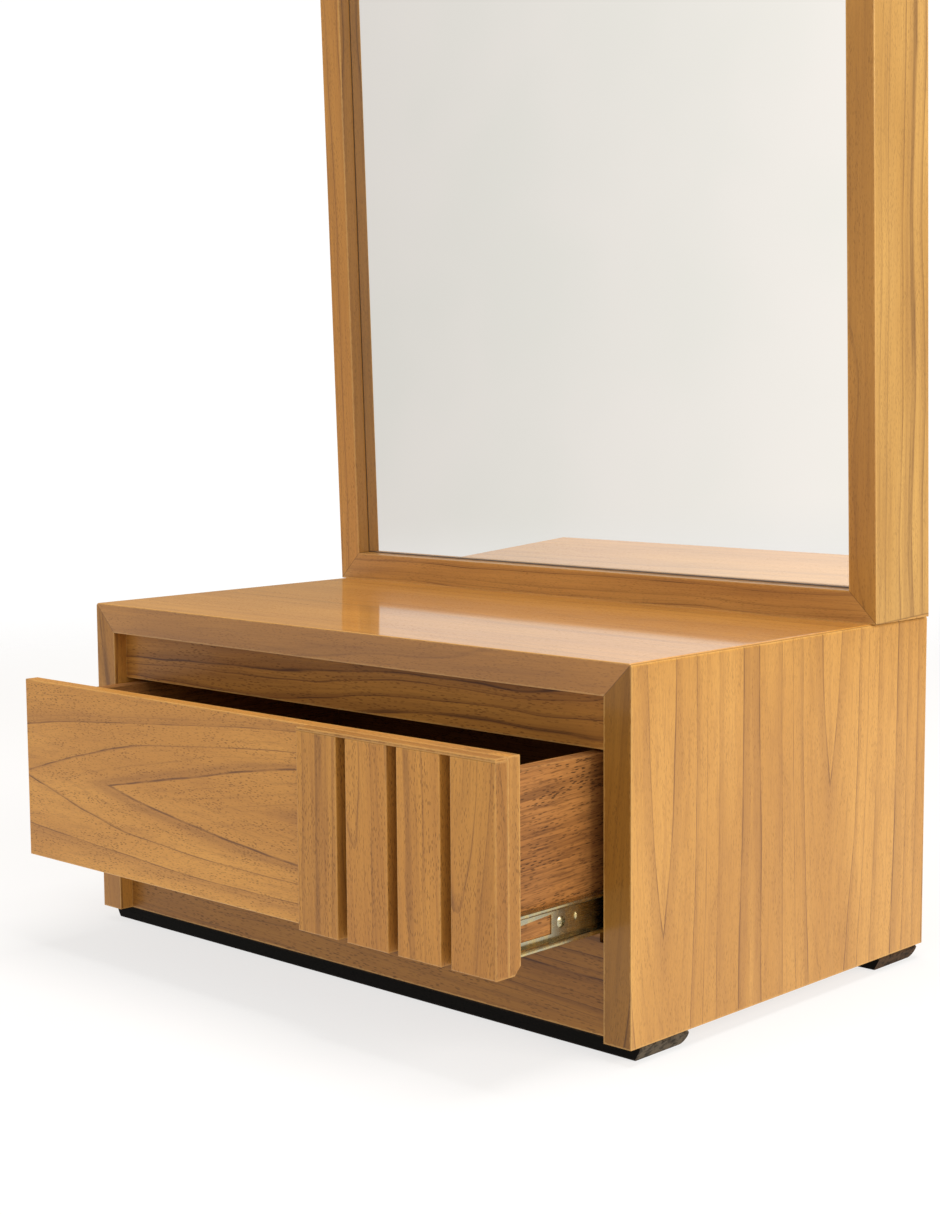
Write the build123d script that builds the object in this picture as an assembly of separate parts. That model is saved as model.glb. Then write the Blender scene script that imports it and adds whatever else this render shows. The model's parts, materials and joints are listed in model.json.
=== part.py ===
"""Low dressing cabinet with one drawer and a deep mirror frame standing on its top.

Millimetres, +Z up, +X to the right, and the drawer opens towards -Y. Everything is
laid out from the cabinet's front edge on the floor, then moved so that the origin
lies on the floor, midway between the front of the open drawer and the cabinet's back.
"""
import os
from math import cos, radians, sin

from build123d import *

# Cabinet
width = 600.0
depth = 375.0
carcass_height = 269.0
runner_height = 12.0
overall_height = 1000.0
panel = 24.5
corner_round = 3.0
edge_round = 0.8
rail_setback = 12.5
rail_thickness = 18.0
upper_rail_height = 40.0
lower_rail_height = 75.5
rear_rail_height = 35.0
back_thickness = 4.0
back_inset = 5.0
rebate = 8.0
base_board_thickness = 5.5
base_top = 47.5
cleat_height = 18.0
cleat_width = 15.0

# Runners under the carcass
runner_depth = 56.0
runner_inset = 2.0
rear_runner_y = 315.0
runner_bevel = (5.0, 9.0)

# Drawer, which stands pulled out by drawer_open
drawer_open = 94.0
full_travel = 340.0
front_width = 545.0
front_bottom = 78.5
front_height = 148.5
front_thickness = 12.0
pull_bevel = 6.0
slat_count = 4
slat_width = 41.4
groove_width = 9.6
groove_strip_thickness = 1.5
slat_thickness = 12.0
slat_cap = 2.5
box_bottom = 89.0
box_height = 125.0
box_wall = 12.0
box_rear = 345.0
box_floor_thickness = 4.0
box_floor_lift = 6.0
box_floor_groove = 5.0

# Ball-bearing slides, one on each side of the drawer
slide_thickness = 12.7
slide_height = 45.7
slide_z = 103.0
slide_front = 15.0
slide_length = 350.0
middle_front = 61.0
middle_length = 300.0
outer_cage = (110.0, 160.0)
inner_cage = (147.0, 130.0)
steel = 1.2
ball_radius = 1.5
ball_gap = 0.1
ball_pitch = 14.0
cage_half_width = 2.2
cage_half_thickness = 0.3
outer_lip = 9.5
middle_web = 2.2
middle_lip = 10.8
lip_curl = 1.2
outer_hole_y = (110.0, 265.0)
outer_hole_radius = 3.2
middle_slot = (28.0, 10.0)
middle_slot_from = (70.0, 150.0, 230.0)
inner_set_back = 1.5
flange_depth = (5.5, 11.6)
flange_height = 3.6
flange_round = 2.2
flange_edge_round = 0.5
inner_slot = (30.0, 8.0)
inner_slot_from = (140.0, 240.0)
window_from = 8.0
window_length = 31.0
window_bottom = -6.6
window_top = (5.0, 7.2)
outer_ball_depth = 5.4
inner_ball_depth = 7.4

# Mirror frame, which leans forward over the top
mirror_width = 607.0
mirror_depth = 76.0
mirror_y = 295.5
mirror_member = 25.0
mirror_lean = 1.9
glass_recess = 13.5
glass_thickness = 5.0
backing_thickness = 4.0
glass_play = 1.0
batten = 12.0
glass_gap = 0.1

# Screws
screw_shank = 1.8
screw_head = 3.6
screw_play = 0.1
cabinet_screw_length = 14.0
drawer_screw_length = 10.0
front_screw_length = 20.0
fixing_shank = 2.5
fixing_head = 5.5
fixing_head_height = 3.5
fixing_slot = (7.0, 2.2, 2.4)
washer_thickness = 1.5
washer_width = 2.5
runner_head_height = 3.0
counterbore_play = 0.3

# Worked out from the above
top_z = runner_height + carcass_height
inner_half = width / 2 - panel
inner_top = top_z - panel
back_y = depth - back_inset - back_thickness
box_half = inner_half - slide_thickness
front_half = front_width / 2
front_top = front_bottom + front_height
box_top = box_bottom + box_height
slat_top = front_top - slat_cap
slat_left = front_half - slat_count * slat_width - (slat_count - 1) * groove_width
overall_front = -drawer_open - slat_thickness
centre_y = (depth + overall_front) / 2
outer_half = slide_height / 2
middle_half = outer_half - steel - 2 * (ball_radius + ball_gap)
member_half = middle_half - steel - 2 * (ball_radius + ball_gap)
glass_half = mirror_width / 2 - mirror_member
rebate_half = glass_half + rebate
lean = radians(mirror_lean)
mirror_height = (overall_height - top_z - mirror_depth * sin(lean)) / cos(lean)


# ---- Shared shapes ----------------------------------------------------------

def block(x, y, z):
    """A box from three (low, high) pairs."""
    size = Box(x[1] - x[0], y[1] - y[0], z[1] - z[0])
    return Pos((x[0] + x[1]) / 2, (y[0] + y[1]) / 2, (z[0] + z[1]) / 2) * size


def prism(points, y0, y1):
    """A flat outline in X and Z carried along Y."""
    outline = make_face(Polyline(*points, close=True))
    return Pos(0, y0, 0) * extrude(Plane.XZ * outline, amount=y0 - y1)


def plate(points, x0, x1):
    """A flat outline in Y and Z carried along X."""
    outline = make_face(Polyline(*points, close=True))
    return Pos(x0, 0, 0) * extrude(Plane.YZ * outline, amount=x1 - x0)


def rod(start, direction, radius, length):
    """A round bar from its start, along direction."""
    return Plane(origin=start, z_dir=direction) * Cylinder(
        radius, length, align=(Align.CENTER, Align.CENTER, Align.MIN)
    )


def screw(head_at, direction, shank, head, length):
    """A countersunk screw, with its head's face at head_at and a cross recess."""
    cone = Plane(origin=head_at, z_dir=direction) * Cone(
        head, shank, head - shank, align=(Align.CENTER, Align.CENTER, Align.MIN)
    )
    recess = Box(head, head / 4, head / 3) + Box(head / 4, head, head / 3)
    solid = cone + rod(head_at, direction, shank, length)
    return solid - Plane(origin=head_at, z_dir=direction) * recess


def screw_hole(head_at, direction, shank, head, length):
    """The hole that the same screw fills, a little larger."""
    cone = Plane(origin=head_at, z_dir=direction) * Cone(
        head + screw_play, shank + screw_play, head - shank,
        align=(Align.CENTER, Align.CENTER, Align.MIN),
    )
    return cone + rod(head_at, direction, shank + screw_play, length + screw_play)


def mirrored(shape):
    """The same shape on the other side of the middle."""
    return mirror(shape, about=Plane.YZ)


def save(name, *shapes):
    """Write one sub-part, moved to the shared origin."""
    move = Location((0, -centre_y, 0))
    solids = [solid.moved(move) for shape in shapes for solid in shape.solids()]
    export_step(Compound(solids) if len(solids) > 1 else solids[0], f"parts/{name}.step")


# ---- Fixing places ----------------------------------------------------------

slide_screw_y = (45.0, 190.0, 335.0)
drawer_screw_y = (-31.5, 90.0, 215.0)
mirror_screw_x = (-200.0, 0.0, 200.0)
mirror_screw_y = 330.0
mirror_screw_length = panel + 12.0
runner_screw_x = width / 2 - panel / 2 - 4.0
runner_screw_y = tuple(
    start + offset for start in (rail_setback, rear_runner_y) for offset in (14.0, 42.0)
)
runner_screw_length = 28.0
runner_counterbore = 4.0
front_screws = tuple((x, z) for x in (-200.0, 200.0) for z in (115.0, 188.0))


def cabinet_slide_screw(y):
    """Place and direction of one screw through the slide's outer rail, right side."""
    return (inner_half - steel, y, slide_z), (1, 0, 0)


def drawer_slide_screw(y):
    """Place and direction of one screw through the slide's inner rail, right side."""
    return (box_half + steel, y, slide_z), (-1, 0, 0)


# ---- Cabinet ----------------------------------------------------------------

def carcass_panels():
    """The top and two sides, mitred where they meet and rebated for the back."""
    body = block((-width / 2, width / 2), (0, depth), (runner_height, top_z))
    body = fillet(body.edges().filter_by(Axis.Y).group_by(Axis.Z)[-1], corner_round)
    front_edges = body.edges().group_by(Axis.Y)[0]
    front_edges = front_edges.filter_by(lambda edge: edge.center().Z > runner_height + 1)
    body = fillet(front_edges, edge_round)
    body -= block((-inner_half, inner_half), (-1, depth + 1), (0, inner_top))
    back_rebate = inner_half + rebate
    body -= block((-back_rebate, back_rebate), (back_y, depth + 1), (0, inner_top + rebate))
    mitre = [
        (-inner_half, inner_top),
        (-width / 2 - 5, top_z + 5),
        (width / 2 + 5, top_z + 5),
        (inner_half, inner_top),
    ]
    wedge = prism(mitre, -1, depth + 1)
    top = body & wedge
    for x in mirror_screw_x:
        place = (x, mirror_screw_y, inner_top)
        top -= rod(place, (0, 0, 1), fixing_shank + screw_play, panel)
    side = (body - wedge) & block((0, width), (-1, depth + 1), (0, top_z + 1))
    for y in slide_screw_y:
        place, direction = cabinet_slide_screw(y)
        side -= screw_hole(place, direction, screw_shank, screw_head, cabinet_screw_length)
    for y in runner_screw_y:
        start = (runner_screw_x, y, runner_height)
        side -= rod(start, (0, 0, 1), fixing_shank + screw_play, runner_screw_length)
    save("top_panel", top)
    save("right_side_panel", side)
    save("left_side_panel", mirrored(side))


def rails():
    """Front and rear rails between the sides; the lower front one clears the slides."""
    front = (rail_setback, rail_setback + rail_thickness)
    span = (-inner_half, inner_half)
    save("front_upper_rail", block(span, front, (inner_top - upper_rail_height, inner_top)))
    lower_top = runner_height + lower_rail_height
    lower = block(span, front, (runner_height, lower_top))
    notch_z = slide_z - outer_half - 1
    notch = block((box_half - 1, inner_half), (0, depth), (notch_z, lower_top + 1))
    save("front_lower_rail", lower - notch - mirrored(notch))
    rear = (back_y - rail_thickness, back_y)
    save("rear_upper_rail", block(span, rear, (inner_top - rear_rail_height, inner_top)))
    save("rear_lower_rail", block(span, rear, (runner_height, notch_z - 1)))


def corner_blocks():
    """Four glued blocks behind the front rails."""
    y0 = rail_setback + rail_thickness
    low = (base_top, slide_z - outer_half - 1.5)
    high = (box_top + 4, inner_top)
    solids = []
    for z in (low, high):
        corner = [(inner_half, 0), (inner_half - 25, 0), (inner_half, 25)]
        flat = make_face(Polyline(*corner, close=True))
        right = Pos(0, y0, z[0]) * extrude(flat, amount=z[1] - z[0])
        solids += [right, mirrored(right)]
    save("corner_blocks", *solids)


def base_and_back():
    """The thin base board on its two cleats, and the thin back in its rebate."""
    y = (rail_setback + rail_thickness, back_y - rail_thickness)
    cleat_z = (base_top - base_board_thickness - cleat_height, base_top - base_board_thickness)
    cleat = block((inner_half - cleat_width, inner_half), y, cleat_z)
    save("base_cleats", cleat, mirrored(cleat))
    board_z = (cleat_z[1], base_top)
    save("base_board", block((-inner_half, inner_half), y, board_z))
    back_half = inner_half + rebate - 0.5
    back_z = (runner_height + 2, inner_top + rebate - 0.5)
    save("back_panel", block((-back_half, back_half), (back_y, back_y + back_thickness), back_z))


def runner(y0):
    """One black bar under the carcass: bevelled ends, rounded rear edge."""
    half = width / 2 - runner_inset
    run, rise = runner_bevel
    ends = [(-half, runner_height), (half, runner_height), (half, rise), (half - run, 0)]
    ends += [(run - half, 0), (-half, rise)]
    bar = prism(ends, y0, y0 + runner_depth)
    round_off = bar.edges().filter_by(Axis.X).group_by(Axis.Y)[-1]
    bar = fillet(round_off, runner_height / 2 - 0.2)
    bar = fillet(bar.edges().filter_by(Axis.X).group_by(Axis.Y)[0].group_by(Axis.Z)[0], 1.5)
    for y in runner_screw_y:
        if y0 < y < y0 + runner_depth:
            start = (runner_screw_x, y, 0)
            hole = rod(start, (0, 0, 1), fixing_head + counterbore_play, runner_counterbore)
            hole += rod(start, (0, 0, 1), fixing_shank + screw_play, runner_height)
            bar -= hole
            bar -= mirrored(hole)
    return bar


def runners():
    """Both runners and the screws that hold them."""
    save("front_runner", runner(rail_setback))
    save("rear_runner", runner(rear_runner_y))


# ---- Drawer -----------------------------------------------------------------

def drawer_front():
    """The front panel, its slats with a thin cap over them, and the dark strips between."""
    face = -drawer_open
    front_y = (face, face + front_thickness)
    front = block((-front_half, front_half), front_y, (front_bottom, front_top))
    rear_low = front.edges().filter_by(Axis.X).group_by(Axis.Y)[-1].group_by(Axis.Z)[0]
    front = chamfer(rear_low, pull_bevel)
    front = fillet(front.edges().group_by(Axis.Y)[0], edge_round)
    for x, z in front_screws:
        place = (x, face + front_thickness + box_wall, z)
        front -= screw_hole(place, (0, -1, 0), screw_shank, screw_head, front_screw_length)
    save("drawer_front_panel", front)
    strips = []
    for i in range(slat_count):
        x0 = slat_left + i * (slat_width + groove_width)
        z = (front_bottom, slat_top)
        slat = block((x0, x0 + slat_width), (face - slat_thickness, face), z)
        slat = fillet(slat.edges().group_by(Axis.Y)[0], edge_round)
        save(f"slat_{i + 1}", slat)
        if i < slat_count - 1:
            strip_x = (x0 + slat_width, x0 + slat_width + groove_width)
            strips.append(block(strip_x, (face - groove_strip_thickness, face), z))
    save("groove_strips", *strips)
    cap = block((slat_left, front_half), (face - slat_thickness, face), (slat_top, front_top))
    save("slat_cap", fillet(cap.edges().group_by(Axis.Y)[0].group_by(Axis.Z)[-1], edge_round))


def drawer_box():
    """Sides, inner front, back and the thin floor in its grooves."""
    front = front_thickness - drawer_open
    rear = box_rear - drawer_open
    z = (box_bottom, box_top)
    floor_z = (box_bottom + box_floor_lift, box_bottom + box_floor_lift + box_floor_thickness)
    inside = box_half - box_wall
    floor_half = inside + box_floor_groove
    floor_y = (front + box_wall - box_floor_groove, rear - box_wall + box_floor_groove)
    floor = block((-floor_half, floor_half), floor_y, floor_z)
    side = block((inside, box_half), (front, rear), z) - floor
    for y in drawer_screw_y:
        place, direction = drawer_slide_screw(y)
        side -= screw_hole(place, direction, screw_shank, screw_head, drawer_screw_length)
    inner_front = block((-inside, inside), (front, front + box_wall), z) - floor
    for x, screw_z in front_screws:
        place = (x, front + box_wall, screw_z)
        hole = screw_hole(place, (0, -1, 0), screw_shank, screw_head, front_screw_length)
        inner_front -= hole
    save("drawer_right_side", side)
    save("drawer_left_side", mirrored(side))
    save("drawer_inner_front", inner_front)
    save("drawer_back", block((-inside, inside), (rear - box_wall, rear), z) - floor)
    save("drawer_floor", floor)
    screws = []
    for x, screw_z in front_screws:
        place = (x, front + box_wall, screw_z)
        screws.append(screw(place, (0, -1, 0), screw_shank, screw_head, front_screw_length))
    save("front_fixing_screws", *screws)


# ---- Slides: drawn on the right, where u runs inward from the cabinet's side ---

def section(outline, sign):
    """Turn (u, v) pairs into X and Z, v measured from the slide's middle."""
    return [(inner_half - u, slide_z + sign * v) for u, v in outline]


def channel(web, lip_to, half, y0, y1):
    """A steel channel: its web starts at web, and its lips reach out to lip_to and curl in."""
    web_x = (inner_half - web - steel, inner_half - web)
    shape = block(web_x, (y0, y1), (slide_z - half, slide_z + half))
    curl_to = half - steel - lip_curl
    lip = [(web, half), (lip_to, half), (lip_to, curl_to), (lip_to - steel, curl_to)]
    lip += [(lip_to - steel, half - steel), (web, half - steel)]
    return shape + prism(section(lip, 1), y0, y1) + prism(section(lip, -1), y0, y1)


def slots(starts, size, x0, x1):
    """Plates to cut long slots with, level with the slide's middle."""
    half = size[1] / 2
    cuts = []
    for y in starts:
        low = slide_z - half
        high = slide_z + half
        outline = [(y, low), (y + size[0], low), (y + size[0], high), (y, high)]
        cuts.append(plate(outline, x0, x1))
    return cuts


def outer_rail():
    """The rail screwed to the cabinet's side."""
    rail = channel(0, outer_lip, outer_half, slide_front, slide_front + slide_length)
    for y in slide_screw_y:
        place, direction = cabinet_slide_screw(y)
        rail -= screw_hole(place, direction, screw_shank, screw_head, cabinet_screw_length)
    for y in outer_hole_y:
        start = (inner_half - 2 * steel, y, slide_z)
        rail -= rod(start, (1, 0, 0), outer_hole_radius, 3 * steel)
    return rail


def middle_rail():
    """The rail between, which moves half as far as the drawer."""
    y0 = middle_front - drawer_open / 2
    rail = channel(middle_web, middle_lip, middle_half, y0, y0 + middle_length)
    starts = [y0 + start for start in middle_slot_from]
    for cut in slots(starts, middle_slot, inner_half - 2 * (middle_web + steel), inner_half):
        rail -= cut
    return rail


def flange(sign, y0, y1):
    """The inner rail's flange, above or below, with a big round towards the middle."""
    near, far = flange_depth
    low = member_half - flange_height
    outline = [(near, low), (far, low), (far, member_half), (near, member_half)]
    bar = prism(section(outline, sign), y0, y1)
    cabinet_edges = bar.edges().filter_by(Axis.Y).group_by(Axis.X)[-1].sort_by(Axis.Z)
    bar = fillet(cabinet_edges[-1 if sign < 0 else 0], flange_round)
    cabinet_edges = bar.edges().filter_by(Axis.Y).group_by(Axis.X)[-1].sort_by(Axis.Z)
    return fillet(cabinet_edges[0 if sign < 0 else -1], flange_edge_round)


def inner_rail():
    """The rail on the drawer: a flat web with a window and slots between two deep flanges."""
    y0 = slide_front - inner_set_back - drawer_open
    y1 = y0 + slide_length
    web_x = (box_half, box_half + steel)
    rail = block(web_x, (y0, y1), (slide_z - member_half, slide_z + member_half))
    rail = rail + flange(1, y0, y1) + flange(-1, y0, y1)
    start = y0 + window_from
    end = start + window_length
    low = slide_z + window_bottom
    window = [(start, low), (end, low), (end, slide_z + window_top[1])]
    window += [(start, slide_z + window_top[0])]
    cut_x = (box_half - steel, box_half + 2 * steel)
    rail -= plate(window, *cut_x)
    for cut in slots([y0 + start for start in inner_slot_from], inner_slot, *cut_x):
        rail -= cut
    for y in drawer_screw_y:
        place, direction = drawer_slide_screw(y)
        rail -= screw_hole(place, direction, screw_shank, screw_head, drawer_screw_length)
    return rail


def cage(y0, length, ball_height, depth_in):
    """A ball cage's steel strips and its balls, above and below."""
    strips = []
    balls = []
    x = inner_half - depth_in
    count = int((length - ball_pitch) // ball_pitch)
    start = y0 + (length - (count - 1) * ball_pitch) / 2
    for z in (slide_z + ball_height, slide_z - ball_height):
        strip_z = (z - cage_half_thickness, z + cage_half_thickness)
        strip = block((x - cage_half_width, x + cage_half_width), (y0, y0 + length), strip_z)
        for i in range(count):
            place = Pos(x, start + i * ball_pitch, z)
            strip -= place * Sphere(ball_radius + ball_gap)
            balls.append(place * Sphere(ball_radius))
        strips.append(strip)
    return strips, balls


def slides():
    """Both slides, with their cages, balls and screws."""
    outer_start = outer_cage[0] - drawer_open / 4
    outer_height = middle_half + ball_gap + ball_radius
    outer_strips, outer_balls = cage(outer_start, outer_cage[1], outer_height, outer_ball_depth)
    inner_start = inner_cage[0] - drawer_open * 3 / 4
    inner_height = member_half + ball_gap + ball_radius
    inner_strips, inner_balls = cage(inner_start, inner_cage[1], inner_height, inner_ball_depth)
    cabinet_screws = []
    for y in slide_screw_y:
        place, direction = cabinet_slide_screw(y)
        cabinet_screws.append(screw(place, direction, screw_shank, screw_head, cabinet_screw_length))
    drawer_screws = []
    for y in drawer_screw_y:
        place, direction = drawer_slide_screw(y)
        drawer_screws.append(screw(place, direction, screw_shank, screw_head, drawer_screw_length))
    groups = {
        "slide_outer_rail": [outer_rail()],
        "slide_middle_rail": [middle_rail()],
        "slide_inner_rail": [inner_rail()],
        "outer_ball_cage": outer_strips,
        "outer_balls": outer_balls,
        "inner_ball_cage": inner_strips,
        "inner_balls": inner_balls,
        "cabinet_slide_screws": cabinet_screws,
        "drawer_slide_screws": drawer_screws,
    }
    for name, solids in groups.items():
        save(f"right_{name}", *solids)
        save(f"left_{name}", *[mirrored(solid) for solid in solids])


# ---- Mirror: drawn upright from the frame's lower front edge, then leaned -------

def leaned(shape):
    """Lean a mirror piece forward over the cabinet's top and cut it off at the top."""
    placed = Pos(0, mirror_y, top_z) * Rot(mirror_lean, 0, 0) * shape
    below = block((-width, width), (0, 2 * depth), (0, top_z))
    return placed - below


def mirror_members():
    """Four mitred members, rebated from behind for the glass."""
    half = mirror_width / 2
    ring = block((-half, half), (0, mirror_depth), (-6, mirror_height))
    front_edges = ring.edges().group_by(Axis.Y)[0].filter_by(lambda edge: edge.center().Z > 0)
    ring = fillet(front_edges, edge_round)
    opening = (mirror_member, mirror_height - mirror_member)
    ring -= block((-glass_half, glass_half), (-1, mirror_depth + 1), opening)
    wide = (mirror_member - rebate, mirror_height - mirror_member + rebate)
    ring -= block((-rebate_half, rebate_half), (glass_recess, mirror_depth + 1), wide)
    reach = mirror_member + 10
    low = [(-glass_half, opening[0]), (glass_half, opening[0])]
    low += [(glass_half + reach, opening[0] - reach), (-glass_half - reach, opening[0] - reach)]
    high = [(-glass_half, opening[1]), (glass_half, opening[1])]
    high += [(glass_half + reach, opening[1] + reach), (-glass_half - reach, opening[1] + reach)]
    low_wedge = prism(low, -1, mirror_depth + 1)
    high_wedge = prism(high, -1, mirror_depth + 1)
    stiles = ring - low_wedge - high_wedge
    right = stiles & block((0, width), (-1, mirror_depth + 1), (-20, mirror_height + 1))
    bottom = leaned(ring & low_wedge)
    for x in mirror_screw_x:
        start = (x, mirror_screw_y, top_z)
        bottom -= rod(start, (0, 0, 1), fixing_shank + screw_play, mirror_screw_length - panel + 1)
    save("mirror_bottom_member", bottom)
    save("mirror_top_member", leaned(ring & high_wedge))
    save("mirror_right_member", leaned(right))
    save("mirror_left_member", mirrored(leaned(right)))


def mirror_fill():
    """Glass, backing board and the battens that hold them in the rebate."""
    half = rebate_half - glass_play
    z = (mirror_member - rebate + glass_play, mirror_height - mirror_member + rebate - glass_play)
    y = glass_recess
    save("mirror_glass", leaned(block((-half, half), (y, y + glass_thickness), z)))
    y += glass_thickness + glass_gap
    save("mirror_backing_board", leaned(block((-half, half), (y, y + backing_thickness), z)))
    y += backing_thickness + glass_gap
    wide = (mirror_member - rebate, mirror_height - mirror_member + rebate)
    battens = [
        block((-rebate_half, rebate_half), (y, y + batten), (wide[0], wide[0] + batten)),
        block((-rebate_half, rebate_half), (y, y + batten), (wide[1] - batten, wide[1])),
    ]
    upright_z = (wide[0] + batten, wide[1] - batten)
    upright = block((rebate_half - batten, rebate_half), (y, y + batten), upright_z)
    battens += [upright, mirrored(upright)]
    save("mirror_battens", *[leaned(piece) for piece in battens])


def fixings():
    """Screws up through the top into the mirror, with washers, and through the runners."""
    slot_length, slot_width, slot_depth = fixing_slot
    screws = []
    washers = []
    under = inner_top - washer_thickness
    for x in mirror_screw_x:
        place = (x, mirror_screw_y, under)
        head = rod(place, (0, 0, -1), fixing_head, fixing_head_height)
        slot = Box(slot_width, slot_length, slot_depth)
        head -= Pos(x, mirror_screw_y, under - fixing_head_height) * slot
        length = mirror_screw_length + washer_thickness
        screws.append(head + rod(place, (0, 0, 1), fixing_shank, length))
        ring = rod(place, (0, 0, 1), fixing_head + washer_width, washer_thickness)
        hole = rod((x, mirror_screw_y, under - 1), (0, 0, 1), fixing_shank + screw_play, panel)
        washers.append(ring - hole)
    save("mirror_fixing_screws", *screws)
    save("mirror_fixing_washers", *washers)
    right = []
    for y in runner_screw_y:
        place = (runner_screw_x, y, runner_counterbore)
        head = rod(place, (0, 0, -1), fixing_head, runner_head_height)
        slot = Box(slot_length, slot_width, slot_depth)
        head -= Pos(runner_screw_x, y, runner_counterbore - runner_head_height) * slot
        length = runner_height - runner_counterbore + runner_screw_length - 1
        right.append(head + rod(place, (0, 0, 1), fixing_shank, length))
    save("runner_screws", *right, *[mirrored(piece) for piece in right])


os.makedirs("parts", exist_ok=True)
carcass_panels()
rails()
corner_blocks()
base_and_back()
runners()
drawer_front()
drawer_box()
slides()
mirror_members()
mirror_fill()
fixings()
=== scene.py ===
import json
import math

import bpy
import numpy as np
from mathutils import Euler, Matrix, Vector


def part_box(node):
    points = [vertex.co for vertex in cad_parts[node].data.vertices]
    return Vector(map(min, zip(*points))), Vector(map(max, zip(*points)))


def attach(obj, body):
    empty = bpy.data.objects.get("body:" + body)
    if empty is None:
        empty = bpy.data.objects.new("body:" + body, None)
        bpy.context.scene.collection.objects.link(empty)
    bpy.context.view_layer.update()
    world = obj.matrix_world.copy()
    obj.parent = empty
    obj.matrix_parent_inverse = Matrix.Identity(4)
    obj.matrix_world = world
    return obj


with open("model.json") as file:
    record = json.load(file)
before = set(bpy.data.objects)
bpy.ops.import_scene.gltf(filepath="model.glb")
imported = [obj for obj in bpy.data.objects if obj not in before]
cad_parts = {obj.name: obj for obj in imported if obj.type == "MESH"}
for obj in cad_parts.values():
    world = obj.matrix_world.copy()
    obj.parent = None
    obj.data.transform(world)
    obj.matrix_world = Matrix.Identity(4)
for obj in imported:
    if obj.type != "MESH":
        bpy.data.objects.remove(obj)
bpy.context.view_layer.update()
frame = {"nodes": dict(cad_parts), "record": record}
nodes = frame["nodes"]
scene = bpy.context.scene
print("frame loaded,", len(nodes), "nodes")

mm = 0.001


def linear(hexColour):  # sRGB hex to linear RGBA
    parts = [int(hexColour[i:i + 2], 16) / 255 for i in (1, 3, 5)]
    return (*(c / 12.92 if c <= 0.04045 else ((c + 0.055) / 1.055) ** 2.4 for c in parts), 1.0)


def addNode(tree, kind, *inputs, sockets=None, out=None, **settings):
    # Adds one node and returns one of its outputs, the first unless out names another. settings
    # are its properties. inputs fill the sockets it then shows, in order, and sockets fills
    # others by name; each is a link or a value.
    node = tree.nodes.new("ShaderNode" + kind)
    for key, value in settings.items():
        setattr(node, key, value)
    shown = [socket for socket in node.inputs if socket.enabled]
    named = [(node.inputs[key], value) for key, value in (sockets or {}).items()]
    for socket, value in [*zip(shown, inputs), *named]:
        if isinstance(value, bpy.types.NodeSocket):
            tree.links.new(value, socket)
        else:
            socket.default_value = value
    results = [s for s in node.outputs if s.enabled and out in (None, s.name)]
    return results[0] if results else node


# Settings that many nodes share
smooth = {"interpolation_type": "SMOOTHSTEP"}  # a Map Range that eases in and out
mixed = {"data_type": "RGBA"}  # a Mix of two colours
multiplied = {"data_type": "RGBA", "blend_type": "MULTIPLY"}


def newMaterial(name):
    material = bpy.data.materials.new(name)
    material.use_nodes = True
    material.node_tree.nodes.clear()
    return material, material.node_tree


def makeGroup(name, inputs, outputs):
    group = bpy.data.node_groups.new(name, "ShaderNodeTree")
    for socketName, kind, value in inputs:
        socket = group.interface.new_socket(socketName, in_out="INPUT", socket_type=kind)
        if value is not None:
            socket.default_value = value
    for socketName in outputs:
        group.interface.new_socket(socketName, in_out="OUTPUT", socket_type="NodeSocketFloat")
    given = group.nodes.new("NodeGroupInput").outputs
    return group, given, group.nodes.new("NodeGroupOutput").inputs


def fibreNoise(tree, place, across, along, detail=2.0, roughness=0.5):
    # Noise whose grains are so many mm across and along the fibres
    place = addNode(tree, "Mapping", place, sockets={"Scale": (1 / across, 1 / across, 1 / along)})
    return addNode(tree, "TexNoise", place, 1.0, detail, roughness)


figure = {  # a noise is mm across, mm along the fibres, detail and roughness
    "ringWobble": (70.0, 240.0, 1.5), "wobbleSwing": 9.0,  # mm
    "ringShake": (12.0, 90.0, 1.5), "shakeSwing": 1.6,
    "ringUneven": (0.6, 2.2),  # how soon and by how many rings their widths drift
    "ringStrength": (-0.1, 1.0, 0.08, 1.0),  # a chance from and to, and the strengths it gives
    "ringSeed": 3.7, "minorSeed": 9.1,
    "lineWidth": 1.1,  # mm of dark late wood that ends a year ring
    "fadeShare": 0.7,  # share of the ring over which the dark fades out
    "minorShare": 0.29,  # spacing of the faint lines between, as a share of the main spacing
    "minorLine": 0.22, "minorFade": 0.12,  # their strength beside the main lines
    "broken": (5.0, 70.0), "brokenShow": (0.36, 0.6, 0.3, 1.0),  # lines come and go
    "fibre": (0.8, 45.0, 3.0, 0.6),
    "streak": (4.5, 230.0, 3.0, 0.6),
    "pore": (1.05, 5.0), "poreEdge": (0.20, 0.40),  # each vessel is drawn half a mm wide to show
    "porous": (9.0, 60.0), "porousShow": (0.35, 0.65, 0.35, 1.0),  # pores stand close or apart
    "blotch": (60.0, 330.0),
}


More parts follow.
